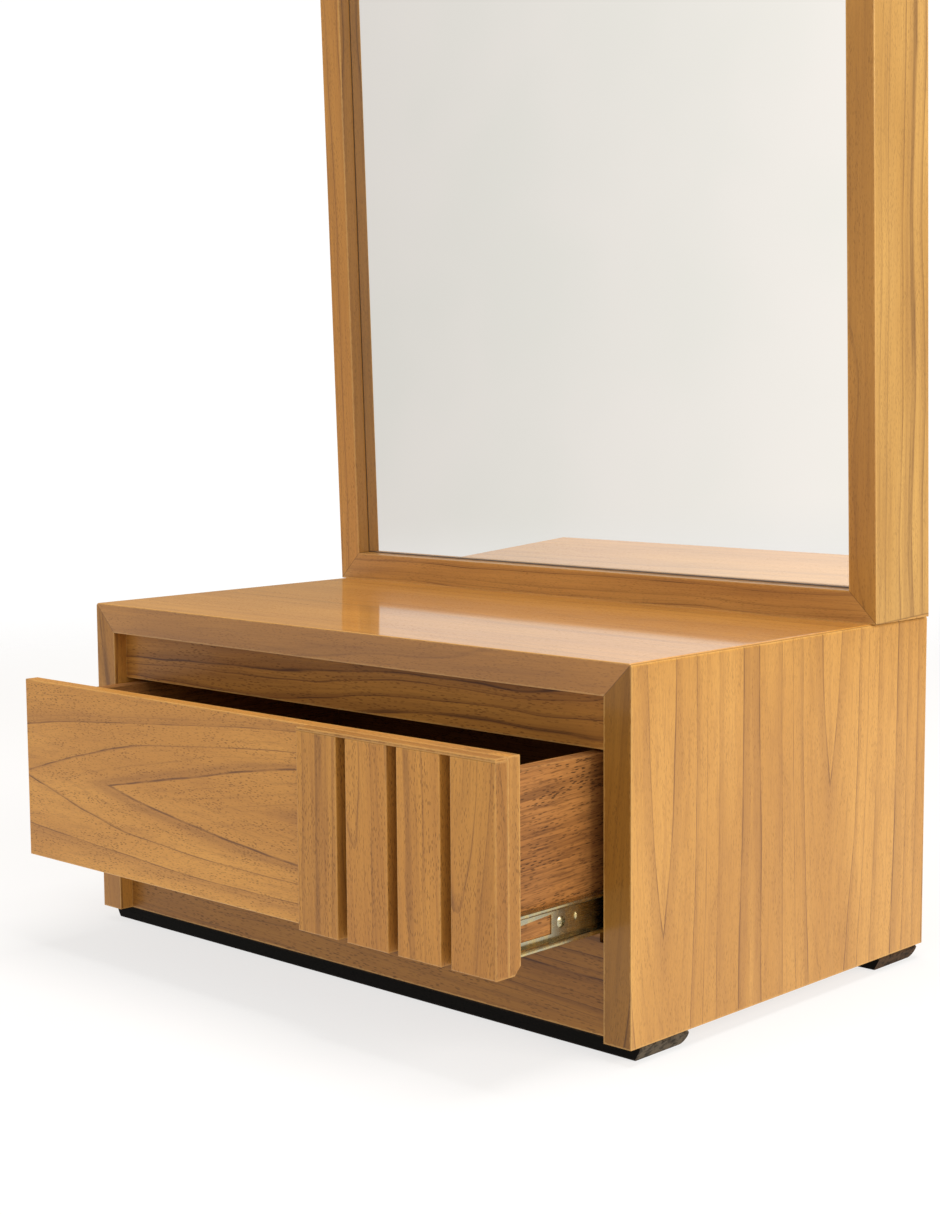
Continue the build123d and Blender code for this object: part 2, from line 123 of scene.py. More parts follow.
def yearLines(group, radius, spacing, seed):
    # Dark lines one ring apart: the distance from the pith over the spacing counts the rings, and
    # noise on that count varies their widths. Each ring's strength is its own. Returns the line,
    # which is sharp on its outer side, and the fade behind it.
    rate, drift = figure["ringUneven"]
    count = addNode(group, "Math", radius, spacing, operation="DIVIDE")
    shifted = addNode(group, "Math", count, seed, operation="ADD")
    uneven = addNode(group, "TexNoise", shifted, rate, 1.0, noise_dimensions="1D")
    count = addNode(group, "Math", uneven, drift, count, operation="MULTIPLY_ADD")
    ring = addNode(group, "Math", count, operation="FRACT")
    number = addNode(group, "Math", count, operation="FLOOR")
    strength = addNode(group, "TexWhiteNoise", number, noise_dimensions="1D")
    strength = addNode(group, "MapRange", strength, *figure["ringStrength"], **smooth)
    past = addNode(group, "Math", ring, spacing, operation="MULTIPLY")  # mm past the last line
    rest = addNode(group, "Math", 1.0, ring, operation="SUBTRACT")
    before = addNode(group, "Math", rest, spacing, operation="MULTIPLY")  # mm before the next
    width = figure["lineWidth"]
    tail = addNode(group, "MapRange", past, width * 0.4, width, 1.0, 0.0, **smooth)
    head = addNode(group, "MapRange", before, 0.0, width * 0.5, 1.0, 0.0, **smooth)
    line = addNode(group, "Math", tail, head, operation="MAXIMUM")
    tail = addNode(group, "MapRange", ring, 0.0, figure["fadeShare"], 1.0, 0.0, **smooth)
    head = addNode(group, "MapRange", before, 0.0, width, 1.0, 0.0, **smooth)
    fade = addNode(group, "Math", tail, head, operation="MAXIMUM")
    return [addNode(group, "Math", part, strength, operation="MULTIPLY") for part in (line, fade)]


def makeFigureGroup():
    # A log's year rings cut by the surface: local Z is the pith, and a ring is a band of distance
    # from it, ending in a dark late-wood line that fades out into the next early wood. The
    # distance is the root of y squared plus x times the larger of x and Point, so that rings are
    # drawn out to a point within Point mm of the pith's line. Coarse widens fibres and pores.
    group, given, out = makeGroup("woodFigure", [
        ("Vector", "NodeSocketVector", None), ("Spacing", "NodeSocketFloat", 12.0),
        ("Wobble", "NodeSocketFloat", 1.0), ("Point", "NodeSocketFloat", 0.0),
        ("Coarse", "NodeSocketFloat", 1.0)],
        ["Line", "Fade", "Fibre", "Streak", "Pore", "Blotch"])
    place = given["Vector"]
    x, y, _ = addNode(group, "SeparateXYZ", place).node.outputs
    x = addNode(group, "Math", x, operation="ABSOLUTE")
    drawn = addNode(group, "Math", x, given["Point"], operation="MAXIMUM")
    squared = addNode(group, "Math", y, y, operation="MULTIPLY")
    squared = addNode(group, "Math", x, drawn, squared, operation="MULTIPLY_ADD")
    radius = addNode(group, "Math", squared, operation="SQRT")
    for noise, swing in ((figure["ringWobble"], figure["wobbleSwing"]),
                         (figure["ringShake"], figure["shakeSwing"])):
        noise = fibreNoise(group, place, *noise)
        swung = addNode(group, "Math", noise, 0.5, operation="SUBTRACT")
        swung = addNode(group, "Math", swung, given["Wobble"], operation="MULTIPLY")
        radius = addNode(group, "Math", swung, 2 * swing, radius, operation="MULTIPLY_ADD")
    line, fade = yearLines(group, radius, given["Spacing"], figure["ringSeed"])
    minor = addNode(group, "Math", given["Spacing"], figure["minorShare"], operation="MULTIPLY")
    faintLine, faintFade = yearLines(group, radius, minor, figure["minorSeed"])
    line = addNode(group, "Math", faintLine, figure["minorLine"], line,
                   operation="MULTIPLY_ADD", use_clamp=True)
    fade = addNode(group, "Math", faintFade, figure["minorFade"], fade,
                   operation="MULTIPLY_ADD", use_clamp=True)
    broken = fibreNoise(group, place, *figure["broken"])
    broken = addNode(group, "MapRange", broken, *figure["brokenShow"], **smooth)
    line = addNode(group, "Math", line, broken, operation="MULTIPLY")
    finer = addNode(group, "Math", 1.0, given["Coarse"], operation="DIVIDE")
    coarse = addNode(group, "VectorMath", place, finer, operation="SCALE")
    across, along = figure["pore"]
    cells = addNode(group, "Mapping", coarse,
                    sockets={"Scale": (1 / across, 1 / across, 1 / along)})
    pore = addNode(group, "TexVoronoi", cells, 1.0)
    pore = addNode(group, "MapRange", pore, *figure["poreEdge"], 1.0, 0.0, **smooth)
    porous = fibreNoise(group, place, *figure["porous"])
    porous = addNode(group, "MapRange", porous, *figure["porousShow"], **smooth)
    parts = {
        "Line": line, "Fade": fade,
        "Fibre": fibreNoise(group, coarse, *figure["fibre"]),
        "Streak": fibreNoise(group, place, *figure["streak"]),
        "Pore": addNode(group, "Math", pore, porous, operation="MULTIPLY"),
        "Blotch": fibreNoise(group, place, *figure["blotch"]),
    }
    for name, part in parts.items():
        group.links.new(part, out[name])
    return group


# Worn edges, lighter where the lacquer is rubbed, also carry a painted highlight along the arris
edgeWearAndHighlight = {
    "chips": (6.0, 6.0, 3.0, 0.7),  # the noise of the chips in the worn and lit line
    "chipShow": (0.3, 0.7, 0.55, 1.35),  # that noise from and to, and its reach in Widths
    "wornAndLit": 0.35,  # share of the reach which is worn right through and lit at full strength
}


def makeEdgeGroup():
    # How near a point on a box is to the box's nearest edge: the middle one of its three
    # distances to the walls, as a mask that is 1 on the edge and 0 about Width inside it.
    group, given, out = makeGroup("boxEdge", [
        ("Vector", "NodeSocketVector", None), ("Low", "NodeSocketVector", None),
        ("High", "NodeSocketVector", None), ("Width", "NodeSocketFloat", 1.0)], ["Edge"])
    place = given["Vector"]
    above = addNode(group, "VectorMath", place, given["Low"], operation="SUBTRACT")
    below = addNode(group, "VectorMath", given["High"], place, operation="SUBTRACT")
    near = addNode(group, "VectorMath", above, below, operation="MINIMUM")
    a, b, c = addNode(group, "SeparateXYZ", near).node.outputs
    lesser = addNode(group, "Math", a, b, operation="MINIMUM")
    greater = addNode(group, "Math", a, b, operation="MAXIMUM")
    greater = addNode(group, "Math", greater, c, operation="MINIMUM")
    middle = addNode(group, "Math", lesser, greater, operation="MAXIMUM")
    chips = fibreNoise(group, place, *edgeWearAndHighlight["chips"])
    reach = addNode(group, "MapRange", chips, *edgeWearAndHighlight["chipShow"], **smooth)
    reach = addNode(group, "Math", given["Width"], reach, operation="MULTIPLY")
    share = addNode(group, "Math", middle, reach, operation="DIVIDE")
    edge = addNode(group, "MapRange", share, edgeWearAndHighlight["wornAndLit"], 1.0, 1.0, 0.0, **smooth)
    group.links.new(edge, out["Edge"])
    return group


figureGroup = makeFigureGroup()
edgeGroup = makeEdgeGroup()

# Teak veneer, sliced and satin lacquered: golden brown with dark year lines and short pores
teakVeneer = {
    "name": "teakVeneer",
    "light": "#CB9244", "mid": "#B98139", "dark": "#8C5C2E", "line": "#5F3B20", "pore": "#5A3819",
    "wornAndLit": "#D9AC66", "seam": "#4A2F19", "lineAmount": 0.72, "fadeAmount": 0.34,
    "poreAmount": 0.62, "fibreAmount": 0.25, "streakAmount": 0.28, "rough": 0.40, "gloss": 0.24,
    "coat": 0.2, "coatRough": 0.10, "bump": 0.35, "wearAndHighlight": 0.35,
}
# Solid teak, planed and lacquered: as the veneer and a little browner and duller
teakSolid = dict(
    teakVeneer, name="teakSolid", light="#C38A3D", mid="#AE7634", dark="#7E4F27", rough=0.44,
    coat=0.16, coatRough=0.18)
# Mahogany-faced plywood, thinly lacquered: red brown with long coarse pores
mahoganyPly = {
    "name": "mahoganyPly",
    "light": "#B97F44", "mid": "#A26B36", "dark": "#57331A", "line": "#553219", "pore": "#3A2210",
    "wornAndLit": "#B98750", "seam": "#3A2214", "lineAmount": 0.25, "fadeAmount": 0.2,
    "poreAmount": 0.85, "fibreAmount": 0.75, "streakAmount": 0.5, "rough": 0.50, "gloss": 0.22,
    "coat": 0.08, "coatRough": 0.25, "bump": 0.6, "wearAndHighlight": 0.3,
}
# Bare plywood, sanded: pale and matt, with a broad flat figure
barePly = {
    "name": "barePly",
    "light": "#C9A46E", "mid": "#BC935E", "dark": "#A07848", "line": "#94683B", "pore": "#7F5A34",
    "wornAndLit": "#D2B07C", "seam": "#7A5630", "lineAmount": 0.4, "fadeAmount": 0.5,
    "poreAmount": 0.35, "fibreAmount": 0.4, "streakAmount": 0.3, "rough": 0.62, "gloss": 0.25,
    "coat": 0.0, "coatRough": 0.3, "bump": 0.5, "wearAndHighlight": 0.2,
}
# Softwood, planed: yellow, even, with brown year lines
softwood = dict(
    barePly, name="softwood", light="#D8B47B", mid="#CDA569", dark="#B5894F", line="#A26F39",
    poreAmount=0.1)
# Hardboard, pressed brown fibre: matt, with no figure
hardboard = dict(
    barePly, name="hardboard", light="#7A583A", mid="#6B4A30", dark="#523623", line="#5A3C28",
    pore="#3C2817", wornAndLit="#846246", lineAmount=0.0, fadeAmount=0.1, poreAmount=0.5,
    fibreAmount=0.7)
# Teak strip, stained dark: deep brown
darkStrip = dict(
    teakVeneer, name="darkStrip", light="#573A2B", mid="#4C3124", dark="#3A241A", line="#2B1B13",
    pore="#22150E", wornAndLit="#5F4028", coat=0.05, wearAndHighlight=0.1)
# Black lacquer, brushed on wood: near black, a low sheen and the grain just showing
blackLacquer = {
    "name": "blackLacquer",
    "light": "#0E0C0A", "mid": "#0B0A08", "dark": "#080706", "line": "#070605", "pore": "#050504",
    "wornAndLit": "#4A3A2B", "seam": "#0A0807", "lineAmount": 0.3, "fadeAmount": 0.3,
    "poreAmount": 0.6, "fibreAmount": 0.4, "streakAmount": 0.4, "rough": 0.6, "gloss": 0.05,
    "coat": 0.0, "coatRough": 0.3, "bump": 0.7, "wearAndHighlight": 0.3,
}

woodFinish = {  # how every wood's figure shows in its colour, its relief and its gloss
    "blotch": (0.32, 0.68), "fibre": (0.42, 0.75), "streak": (0.45, 0.75),  # noise, none to full
    "squareOn": (0.6, 0.8),  # how squarely a face must look along an axis to count as that face
    "bandPith": (-160, -60, 0), "bandTilt": (0.6, 0.4),  # the log of a band over a panel's end
    "rubbedOn": (0.5, 0.8), "rubbed": (7.0, 4.0, 3.0, 0.7),
    "rubbedShow": (0.35, 0.6, 0.25, 1.0),
    "edgeWidth": 1.5,  # mm of worn edge and painted highlight
    "seamEdge": (0.2, 0.8), "seamShare": 0.45,  # mm from the middle of a glue line, and how dark
    "fibreRise": 0.5, "poreRise": -1.0, "lineRise": -0.3, "relief": 0.08,  # mm at full height
    "fibreRough": 0.10, "poreRough": 0.14, "ior": 1.5,
}
grainBasis = {  # turns a grain direction to local Z, with the face's normal on local Y
    "x": Matrix(((0, 0, 1), (0, 1, 0), (-1, 0, 0))),
    "y": Matrix(((0, 0, 1), (1, 0, 0), (0, 1, 0))),
    "z": Matrix(((0, 1, 0), (-1, 0, 0), (0, 0, 1))),
}
frameLean = {"degrees": 1.9, "foot": Vector((0.0, 0.161, 0.281))}  # the mirror frame, over the top


def uprightPlace(tree, coords, leaning):
    # The place in mm, turned back upright about the frame's foot for what leans with the mirror
    back = Matrix.Rotation(-math.radians(frameLean["degrees"]) if leaning else 0.0, 3, "X")
    shift = -(back @ frameLean["foot"]) / mm if leaning else Vector((0, 0, 0))
    return addNode(tree, "Mapping", coords, shift, back.to_euler(), (1 / mm,) * 3)


def matchedLeaves(tree, own, fold, slip):
    # Two upright veneer leaves side by side: past the joint the first is turned over, its y
    # being twice the joint's less y, and slipped along
    x, y, z = addNode(tree, "SeparateXYZ", own).node.outputs
    over = addNode(tree, "Math", y, fold, operation="GREATER_THAN")
    turned = addNode(tree, "Math", 2 * fold, y, operation="SUBTRACT")
    across = addNode(tree, "Math", y, turned, operation="MINIMUM")
    along = addNode(tree, "Math", over, slip, z, operation="MULTIPLY_ADD")
    return addNode(tree, "CombineXYZ", x, across, along)


def cutFromLog(tree, own, grain, pith, tilt):
    # Turns a point to the log it was cut from: local Z is the pith, and X and Y are across it
    turn = Euler([math.radians(a) for a in (*tilt, 0)]).to_matrix() @ grainBasis[grain]
    return addNode(tree, "Mapping", own, -(turn @ Vector(pith)), turn.to_euler())


def faceLooking(tree, facing, axis, sign, reach):
    # A mask of the faces that look along an axis, one way or, with sign 0, both ways
    share = facing["xyz".index(axis)]
    if sign:
        share = addNode(tree, "Math", share, sign, operation="MULTIPLY")
    else:
        share = addNode(tree, "Math", share, operation="ABSOLUTE")
    return addNode(tree, "MapRange", share, *reach, **smooth)


def woodMaterial(name, wood, piece):
    # piece: grain (x, y or z), pith (mm, a point on the pith), tilt (degrees, how the pith leaves
    # the face and how it runs across it), spacing (mm between year lines), wobble, point, coarse
    # and figure (of the figure group), low and high (mm, the box whose edges are worn and carry a
    # painted highlight), lean, seams, leaves, ends (a band over the grain's ends), bareEnds,
    # pores, coat and the tones.
    material, tree = newMaterial(name)
    coords = addNode(tree, "TexCoord", out="Object")
    normal = addNode(tree, "NewGeometry", out="Normal")
    facing = addNode(tree, "SeparateXYZ", normal).node.outputs
    own = uprightPlace(tree, coords, "lean" in piece)
    leaf = matchedLeaves(tree, own, *piece["leaves"]) if "leaves" in piece else own
    local = cutFromLog(tree, leaf, piece["grain"], piece["pith"], piece["tilt"])
    if "ends" in piece:  # a straight-grained band covers the end, running along it
        band = cutFromLog(tree, own, piece["ends"], woodFinish["bandPith"], woodFinish["bandTilt"])
        onEnd = faceLooking(tree, facing, piece["grain"], 0, woodFinish["squareOn"])
        local = addNode(tree, "Mix", onEnd, local, band, data_type="VECTOR")
    line, fade, fibre, streak, pore, blotch = addNode(
        tree, "Group", local, piece["spacing"], piece.get("wobble", 1.0), piece.get("point", 0.0),
        piece.get("coarse", 1.0), node_tree=figureGroup).node.outputs

    amount = piece.get("figure", 1.0)
    share = addNode(tree, "MapRange", blotch, *woodFinish["blotch"], **smooth)
    colour = addNode(tree, "Mix", share, linear(wood["light"]), linear(wood["mid"]), **mixed)
    for part, reach, most in ((fade, (0.0, 1.0), wood["fadeAmount"] * amount),
                              (fibre, woodFinish["fibre"], wood["fibreAmount"]),
                              (streak, woodFinish["streak"], wood["streakAmount"])):
        share = addNode(tree, "MapRange", part, *reach, 0.0, most, **smooth)
        colour = addNode(tree, "Mix", share, colour, linear(wood["dark"]), **mixed)
    for part, most, key in ((line, wood["lineAmount"] * amount, "line"),
                            (pore, wood["poreAmount"] * piece.get("pores", 1.0), "pore")):
        share = addNode(tree, "Math", part, most, operation="MULTIPLY")
        colour = addNode(tree, "Mix", share, colour, linear(wood[key]), **mixed)
    if "tone" in piece:
        tone = piece["tone"] if isinstance(piece["tone"], tuple) else (piece["tone"],) * 3
        colour = addNode(tree, "Mix", 1.0, colour, (*tone, 1), **multiplied)
    # Faces looking forward or to the right take their own tone: partly banding from another leaf,
    # partly painted shade that darkens those faces by how they face the light
    for key, axis, sign in (("frontTone", "y", -1.0), ("sideBandAndShade", "x", 1.0)):
        if key in piece:  # banding from another leaf, and painted shade by facing
            share = faceLooking(tree, facing, axis, sign, woodFinish["squareOn"])
            toned = addNode(tree, "Mix", 1.0, colour, (*piece[key], 1), **multiplied)
            colour = addNode(tree, "Mix", share, colour, toned, **mixed)
    if "bareEnds" in piece:  # the finish rubbed off the end grain in patches
        onEnd = faceLooking(tree, facing, piece["grain"], 0, woodFinish["rubbedOn"])
        patchy = fibreNoise(tree, own, *woodFinish["rubbed"])
        patchy = addNode(tree, "MapRange", patchy, *woodFinish["rubbedShow"], **smooth)
        share = addNode(tree, "Math", onEnd, patchy, operation="MULTIPLY")
        colour = addNode(tree, "Mix", share, colour, linear(piece["bareEnds"]), **mixed)
    # Worn edges and painted highlight: the edges of the piece's box turn lighter, partly rubbed
    # through and partly the light an arris catches
    if "low" in piece:
        edge = addNode(tree, "Group", own, piece["low"], piece["high"], woodFinish["edgeWidth"],
                       node_tree=edgeGroup)
        share = addNode(tree, "Math", edge, piece.get("wearAndHighlight", wood["wearAndHighlight"]), operation="MULTIPLY")
        colour = addNode(tree, "Mix", share, colour, linear(wood["wornAndLit"]), **mixed)
    if "seams" in piece:
        x, _, z = addNode(tree, "SeparateXYZ", own).node.outputs
        x = addNode(tree, "Math", x, operation="ABSOLUTE")
        for sign, reach in piece["seams"]:  # the fine dark glue line of a mitre
            off = addNode(tree, "Math", z, sign, x, operation="MULTIPLY_ADD")
            off = addNode(tree, "Math", off, reach, operation="SUBTRACT")
            off = addNode(tree, "Math", off, operation="ABSOLUTE")
            share = addNode(tree, "MapRange", off, *woodFinish["seamEdge"],
                            woodFinish["seamShare"], 0.0, **smooth)
            colour = addNode(tree, "Mix", share, colour, linear(wood["seam"]), **mixed)

    relief = addNode(tree, "Math", fibre, woodFinish["fibreRise"], operation="MULTIPLY")
    for part, rise in ((pore, woodFinish["poreRise"]), (line, woodFinish["lineRise"])):
        relief = addNode(tree, "Math", part, rise, relief, operation="MULTIPLY_ADD")
    bump = addNode(tree, "Bump", sockets={
        "Strength": wood["bump"], "Distance": woodFinish["relief"] * mm, "Height": relief})
    rough = wood["rough"] - woodFinish["fibreRough"] / 2
    for part, more in ((fibre, woodFinish["fibreRough"]), (pore, woodFinish["poreRough"])):
        rough = addNode(tree, "Math", part, more, rough, operation="MULTIPLY_ADD")
    shader = addNode(tree, "BsdfPrincipled", sockets={
        "Base Color": colour, "Roughness": rough, "IOR": woodFinish["ior"],
        "Specular IOR Level": wood["gloss"], "Coat Weight": piece.get("coat", wood["coat"]),
        "Coat Roughness": piece.get("coatRough", wood["coatRough"]),
        "Coat IOR": woodFinish["ior"], "Normal": bump})
    addNode(tree, "OutputMaterial", shader)
    return material


carcassSeam = [(-1, 19.0)]  # a sign and a reach: it lies where x plus sign times z is the reach
# Each piece's wood and how it was cut from its log, in mm
# The front and side tones below are partly banding from another leaf and partly painted shade on
# the faces that look forward or to the right
cuts = {
    "top_panel": (teakVeneer, {
        "grain": "x", "pith": (0, 60, 190), "tilt": (1.2, 1.0), "spacing": 15, "figure": 0.4,
        "pores": 0.5, "tone": (1.08, 1.02, 0.78), "frontTone": (0.74, 0.73, 0.80), "coat": 0.8,
        "coatRough": 0.07, "seams": carcassSeam}),
    "right_side_panel": (teakVeneer, {
        "grain": "z", "pith": (274, -98, 0), "tilt": (-5.0, 0.6), "spacing": 18, "figure": 0.9,
        "wobble": 0.55, "point": 20, "pores": 0.5, "leaves": (3, -78), "seams": carcassSeam,
        "tone": (1.03, 1.13, 1.42), "frontTone": (0.47, 0.40, 0.24)}),
    "left_side_panel": (teakVeneer, {
        "grain": "z", "pith": (-274, -60, 0), "tilt": (5.0, 0.6), "spacing": 14, "figure": 0.9,
        "wobble": 0.5, "point": 18, "pores": 0.5, "leaves": (52, -50), "seams": carcassSeam,
        "frontTone": (0.92, 0.92, 0.9)}),
    "front_upper_rail": (teakSolid, {
        "grain": "x", "pith": (0, -60, 120), "tilt": (1.0, 1.2), "spacing": 9, "wobble": 1.8,
        "figure": 1.5, "coarse": 1.4, "tone": 0.95}),
    # The lower rail's dark tone is painted shade, for its place under the drawer front
    "front_lower_rail": (teakSolid, {
        "grain": "x", "pith": (0, -70, 190), "tilt": (-1.2, -1.8), "spacing": 9, "wobble": 1.6,
        "figure": 1.4, "coarse": 1.4, "tone": (0.62, 0.59, 0.52)}),
    "rear_upper_rail": (softwood, {
        "grain": "x", "pith": (0, 260, 160), "tilt": (1.0, 0.5), "spacing": 6}),
    "rear_lower_rail": (softwood, {
        "grain": "x", "pith": (0, 260, -60), "tilt": (1.0, 0.5), "spacing": 6}),
    # The corner blocks' tone is painted shade, for the corners inside the carcass
    "corner_blocks": (softwood, {
        "grain": "z", "pith": (0, -60, 0), "tilt": (1.0, 0.5), "spacing": 5, "tone": 0.7}),
    "base_cleats": (softwood, {
        "grain": "y", "pith": (30, 0, 0), "tilt": (0.5, 0.5), "spacing": 5}),
    # The base board's tone is painted shade, for the inside of the carcass
    "base_board": (barePly, {
        "grain": "x", "pith": (0, 50, -20), "tilt": (3.0, 1.0), "spacing": 22, "tone": 0.6}),
    "back_panel": (barePly, {
        "grain": "x", "pith": (60, 200, 140), "tilt": (4.0, 2.0), "spacing": 18, "wobble": 1.5}),
    "front_runner": (blackLacquer, {
        "grain": "x", "pith": (0, -60, -60), "tilt": (1.0, 0.5), "spacing": 9,
        "bareEnds": "#5E5344"}),
    "rear_runner": (blackLacquer, {
        "grain": "x", "pith": (0, 160, -60), "tilt": (1.0, 0.5), "spacing": 9,
        "bareEnds": "#4E3A28"}),
    "drawer_front_panel": (teakVeneer, {
        "grain": "x", "pith": (0, -204.5, 155), "tilt": (5.9, 1.4), "spacing": 18, "ends": "z",
        "wobble": 0.4, "point": 36, "figure": 1.25, "tone": 1.08,
        "sideBandAndShade": (0.72, 0.72, 0.76)}),
    "slat_cap": (teakSolid, {
        "grain": "x", "pith": (0, -150, 120), "tilt": (1.0, 0.5), "spacing": 9, "tone": 0.85}),
    "groove_strips": (darkStrip, {
        "grain": "z", "pith": (100, -150, 0), "tilt": (1.0, 0.5), "spacing": 9}),
    # The tones of the drawer's inner front, back and left side are painted shade, for the inside
    # of the drawer
    "drawer_inner_front": (mahoganyPly, {
        "grain": "x", "pith": (0, -100, 40), "tilt": (1.0, 1.0), "spacing": 14, "tone": 0.5}),
    "drawer_back": (mahoganyPly, {
        "grain": "x", "pith": (0, 0, 30), "tilt": (1.0, 1.0), "spacing": 14, "tone": 0.5}),
    "drawer_left_side": (mahoganyPly, {
        "grain": "y", "pith": (-200, 0, 20), "tilt": (2.0, 1.0), "spacing": 14, "tone": 0.8}),
    "drawer_right_side": (mahoganyPly, {
        "grain": "y", "pith": (200, 0, 20), "tilt": (2.0, -3.0), "spacing": 11, "wobble": 1.6,
        "coarse": 1.4, "tone": 0.92}),
    # The drawer floor's tone is painted shade, for the inside of the drawer
    "drawer_floor": (barePly, {
        "grain": "x", "pith": (0, 0, 60), "tilt": (3.0, 1.0), "spacing": 24, "tone": 0.6}),
    "mirror_backing_board": (hardboard, {
        "grain": "x", "pith": (0, 400, 0), "tilt": (1.0, 1.0), "spacing": 20}),
    "mirror_battens": (softwood, {
        "grain": "z", "pith": (0, 200, 0), "tilt": (1.0, 1.0), "spacing": 6}),
    "mirror_left_member": (teakVeneer, {
        "grain": "z", "pith": (-200, -40, 0), "tilt": (0.8, 0.7), "spacing": 10, "pores": 0.6,
        "figure": 1.3, "frontTone": (0.95, 0.95, 0.98), "sideBandAndShade": (0.60, 0.62, 0.72)}),
    "mirror_right_member": (teakVeneer, {
        "grain": "z", "pith": (240, 130, 0), "tilt": (-0.9, -1.4), "spacing": 13, "pores": 0.5,
        "tone": (1.0, 1.22, 1.85), "frontTone": (0.80, 0.66, 0.42)}),
    "mirror_bottom_member": (teakVeneer, {
        "grain": "x", "pith": (0, -50, -90), "tilt": (0.5, 0.4), "spacing": 10, "pores": 0.5,
        "figure": 1.2, "tone": (0.93, 0.98, 1.2)}),
    "mirror_top_member": (teakVeneer, {
        "grain": "x", "pith": (0, -50, 600), "tilt": (1.0, 0.6), "spacing": 11}),
}

slatCuts = [  # pith across and behind the slat, its two tilts, spacing and tone, left to right
    (-90, 60, 0.8, 1.0, 14, 0.95), (-14, 26, 3.5, 0.8, 9, 1.03),
    (-70, 60, 1.0, -1.2, 11, 1.06), (-16, 30, -4.0, 0.6, 11, 0.99)]
slatLook = {"grain": "z", "wearAndHighlight": 0.2, "figure": 0.7}
slatLift = 1.05  # all the slats' tones together
for i, (across, behind, leaving, aside, spacing, tone) in enumerate(slatCuts):
    low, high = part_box(f"slat_{i + 1}")
    middle = (low.x + high.x) / 2 / mm
    cuts[f"slat_{i + 1}"] = (teakSolid, {
        **slatLook, "pith": (middle + across, low.y / mm + behind, 150),
        "tilt": (leaving, aside), "spacing": spacing, "tone": tone * slatLift})
# The last slat's darker right side is partly painted shade
cuts["slat_4"][1]["sideBandAndShade"] = (0.72, 0.72, 0.76)

leanBoxes = {  # the mirror members before they lean, in mm from the frame's lower front edge
    "mirror_left_member": ((-303.5, 0, -4), (-278.5, 76, 716.9)),
    "mirror_right_member": ((278.5, 0, -4), (303.5, 76, 716.9)),
    "mirror_bottom_member": ((-303.5, 0, 0), (303.5, 76, 25)),
    "mirror_top_member": ((-303.5, 0, 691.9), (303.5, 76, 716.9)),
}
frameSeams = [(1, 303.5), (-1, 303.5 - 716.9)]  # at the bottom and top corners
plainEdges = (
    "corner_blocks", "mirror_battens", "mirror_backing_board", "base_cleats", "groove_strips")

for name, (wood, piece) in cuts.items():
    if name in leanBoxes:
        piece["lean"] = True
        piece["low"], piece["high"] = leanBoxes[name]
        piece["seams"] = frameSeams
    elif name not in plainEdges:
        low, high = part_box(name)
        piece["low"], piece["high"] = low / mm, high / mm
    nodes[name].data.materials.clear()
    nodes[name].data.materials.append(woodMaterial(f"{wood['name']}_{name}", wood, piece))
print("woods made")

steels = {  # line is the length in mm of the draw lines
    # Rolled steel, bright zinc plated: pale grey clouded with yellow, and fine draw lines
    "brightZincSteel": {
        "base": "#ABA78F", "cloud": "#D0BB80", "dark": "#736D5E", "rough": 0.26, "line": 22.0},
    # Turned steel screws, yellow passivated: pale brass colour, clouded
    "yellowZincSteel": {
        "base": "#C9B98A", "cloud": "#B9C0A0", "dark": "#94845C", "rough": 0.34, "line": 5.0},
    # Pressed steel cage strip, plain and lightly oiled: a soft grey
    "pressedSteel": {
        "base": "#9A9B9C", "cloud": "#8C8A84", "dark": "#6E6E6E", "rough": 0.38, "line": 12.0},
    # Bearing steel, ground and polished: a bright even grey
    "bearingSteel": {
        "base": "#C4C5C6", "cloud": "#BBBBBB", "dark": "#A5A5A5", "rough": 0.12, "line": 3.0},
}
steelFinish = {
    "cloudSize": 9.0, "cloudDetail": (3.0, 0.6), "cloudShow": (0.35, 0.7),  # size in mm
    "scratchSize": 0.5, "scratchDetail": 2.0,  # mm across the draw lines
    "scratchShow": (0.58, 0.8, 0.0, 0.6),
    "scratchRough": 0.16, "cloudRough": 0.1, "bump": 0.25, "relief": 0.03,  # relief in mm
}


def steelMaterial(name, look):
    material, tree = newMaterial(name)
    coords = addNode(tree, "TexCoord", out="Object")
    own = addNode(tree, "Mapping", coords, sockets={"Scale": (1 / mm,) * 3})
    cloud = addNode(tree, "TexNoise", own, 1 / steelFinish["cloudSize"],
                    *steelFinish["cloudDetail"])
    finer = 1 / steelFinish["scratchSize"]
    drawn = addNode(tree, "Mapping", own, sockets={"Scale": (finer, 1 / look["line"], finer)})
    scratch = addNode(tree, "TexNoise", drawn, 1.0, steelFinish["scratchDetail"])
    share = addNode(tree, "MapRange", cloud, *steelFinish["cloudShow"], **smooth)
    colour = addNode(tree, "Mix", share, linear(look["base"]), linear(look["cloud"]), **mixed)
    share = addNode(tree, "MapRange", scratch, *steelFinish["scratchShow"], **smooth)
    colour = addNode(tree, "Mix", share, colour, linear(look["dark"]), **mixed)
    rough = look["rough"] - (steelFinish["scratchRough"] + steelFinish["cloudRough"]) / 2
    rough = addNode(tree, "Math", cloud, steelFinish["cloudRough"], rough,
                    operation="MULTIPLY_ADD")
    rough = addNode(tree, "Math", scratch, steelFinish["scratchRough"], rough,
                    operation="MULTIPLY_ADD")
    bump = addNode(tree, "Bump", sockets={
        "Strength": steelFinish["bump"], "Distance": steelFinish["relief"] * mm,
        "Height": scratch})
    shader = addNode(tree, "BsdfPrincipled", colour, 1.0, rough, sockets={"Normal": bump})
    addNode(tree, "OutputMaterial", shader)
    return material


